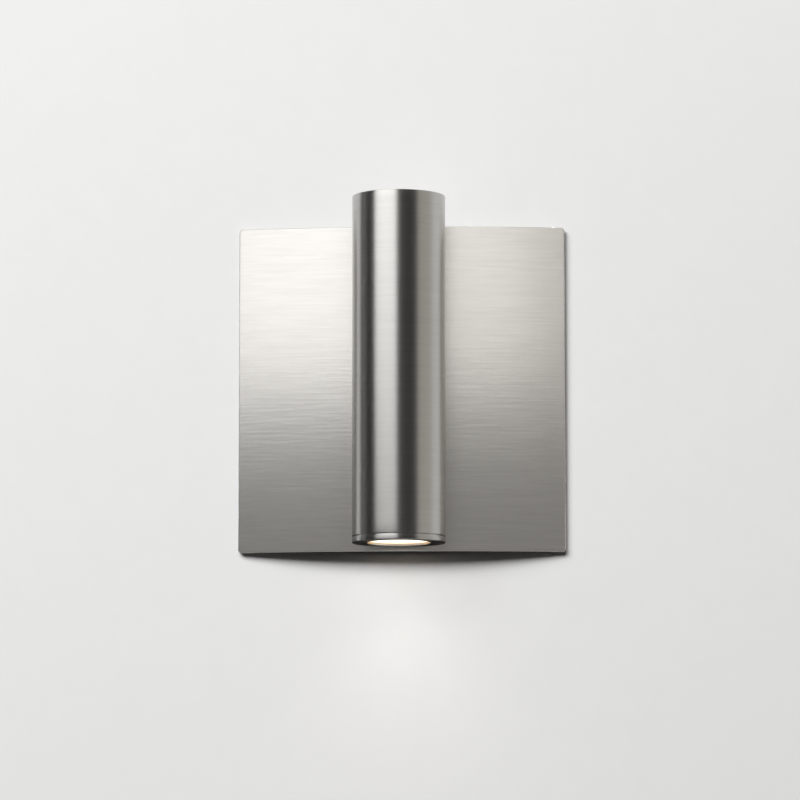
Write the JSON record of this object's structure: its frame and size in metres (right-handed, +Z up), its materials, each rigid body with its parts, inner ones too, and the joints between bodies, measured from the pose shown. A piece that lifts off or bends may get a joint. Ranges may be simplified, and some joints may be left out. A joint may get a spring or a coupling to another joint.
{
  "type": "tube wall light",
  "caption": "Wall light: an upright brushed nickel tube on a bowed square face plate, shining down through a frosted lens held by a screw-on ring.",
  "frame": {"origin": "centre of the wall bracket's two box screw slots, on the wall plane", "axes": "+Z up along the tube, +Y into the wall, +X to the right seen from the front"},
  "size_m": [0.203, 0.0736, 0.216],
  "materials": {
    "plate_nickel": "satin nickel, brushed across",
    "tube_nickel": "satin nickel, brushed round",
    "ring_nickel": "satin nickel, turned",
    "zinc_steel": "bright zinc plate",
    "black_steel": "black oxide",
    "brass_parts": "turned",
    "green_steel": "green plated",
    "cast_aluminium": "machined casting",
    "spun_aluminium": "polished",
    "black_rubber": "matt",
    "white_silicone": "matt",
    "grey_silicone": "matt",
    "white_plastic": "moulded",
    "orange_plastic": "moulded",
    "board_metal": "white solder mask",
    "phosphor": "silicone over phosphor",
    "frosted_acrylic": "frosted, lit",
    "black_wire": "extruded",
    "white_wire": "extruded",
    "green_wire": "extruded",
    "red_wire": "extruded"
  },
  "bodies": {
    "lamp": {"wall_bracket": "zinc_steel", "ground_screw": "green_steel", "plate_carrier": "zinc_steel", "carrier_set_screws": "black_steel", "face_plate": "plate_nickel", "tube_body": "tube_nickel", "tube_standoffs": "ring_nickel", "threaded_nipples": "zinc_steel", "inner_saddles": "cast_aluminium", "inner_lock_washers": "zinc_steel", "inner_nuts": "brass_parts", "rear_lock_washers": "zinc_steel", "rear_nuts": "brass_parts", "top_cap": "ring_nickel", "cap_seal": "black_rubber", "cap_grub_screws": "black_steel", "driver_tray": "zinc_steel", "tray_screws": "zinc_steel", "led_driver": "white_plastic", "driver_screws": "zinc_steel", "heat_sink": "cast_aluminium", "engine_grub_screws": "black_steel", "optic_housing": "cast_aluminium", "housing_screws": "zinc_steel", "thermal_pad": "grey_silicone", "led_board": "board_metal", "led_emitter": "phosphor", "led_holder": "white_plastic", "holder_screws": "zinc_steel", "reflector": "spun_aluminium", "supply_connector": "orange_plastic", "line_lead": "black_wire", "neutral_lead": "white_wire", "ground_lead": "green_wire", "led_lead_positive": "red_wire", "led_lead_negative": "black_wire"},
    "lens_pack": {"front_lens": "frosted_acrylic", "lens_gasket": "white_silicone"},
    "bezel": {"lens_ring": "ring_nickel"}
  },
  "joints": [
    {"name": "lens_drop", "type": "slide", "parent": "lamp", "child": "lens_pack", "axis": [0, 0, -1], "range_m": [0, 0.004]},
    {"name": "ring_turn", "type": "hinge", "parent": "lens_pack", "child": "bezel", "pos_m": [0, -0.04498, -0.0977], "axis": [0, 0, -1], "range_deg": [0, 1440]}
  ],
  "couplings": [
    {"joint": "ring_turn", "follows": "lens_drop", "rad_per_m": 6283.2}
  ]
}
